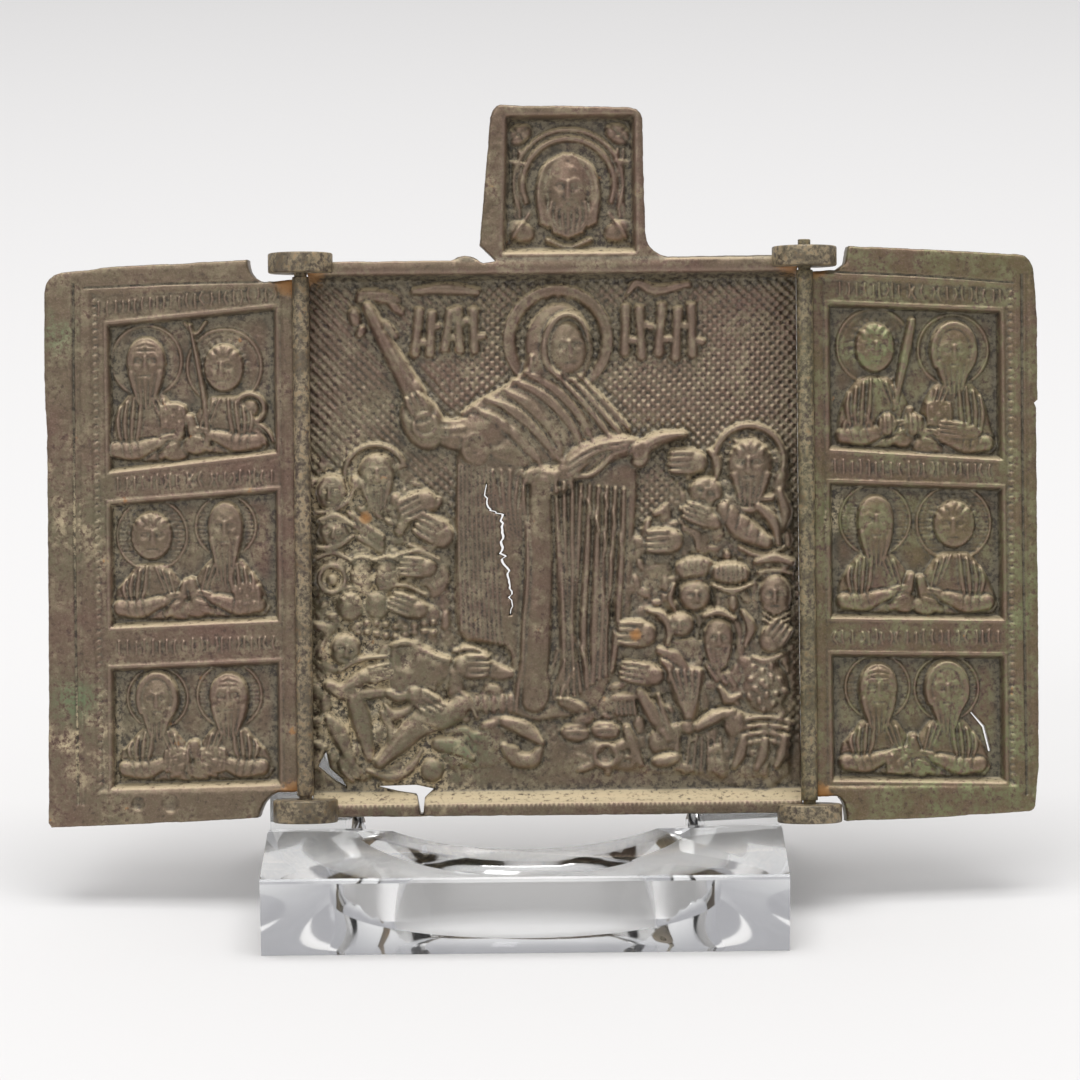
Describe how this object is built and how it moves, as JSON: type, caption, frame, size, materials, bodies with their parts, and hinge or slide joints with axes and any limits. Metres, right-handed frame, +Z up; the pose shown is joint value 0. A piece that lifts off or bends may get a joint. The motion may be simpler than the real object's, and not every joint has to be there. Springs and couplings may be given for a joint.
{
  "type": "folding metal triptych icon on a display easel",
  "caption": "Small cast-metal folding triptych: a central relief panel with a headpiece, two hinged wings with relief busts, held upright by a clear acrylic easel.",
  "frame": {"origin": "middle of the bounding box's underside, on the surface that the easel stands on", "axes": "+Z up, -Y the way the reliefs face, +X along the open triptych to the viewer's right"},
  "size_m": [0.1, 0.035, 0.0783],
  "materials": {
    "brown_bronze": "worn brown patina with tan dirt in the recesses",
    "green_bronze": "worn olive-green patina with tan dirt in the recesses",
    "clear_acrylic": "clear, polished, with a few fine scratches"
  },
  "bodies": {
    "root": {"center_panel": "brown_bronze", "display_stand": "clear_acrylic"},
    "left_wing": {"left_wing": "brown_bronze"},
    "right_wing": {"right_wing": "green_bronze"}
  },
  "joints": [
    {"name": "left_wing_fold", "type": "hinge", "parent": "root", "child": "left_wing", "pos_m": [-0.02396, 0.00368, 0.0355], "axis": [0, 0.2419, 0.9703], "range_deg": [-5, 185]},
    {"name": "right_wing_fold", "type": "hinge", "parent": "root", "child": "right_wing", "pos_m": [0.02644, 0.00368, 0.0355], "axis": [0, -0.2419, -0.9703], "range_deg": [-5, 185]}
  ]
}
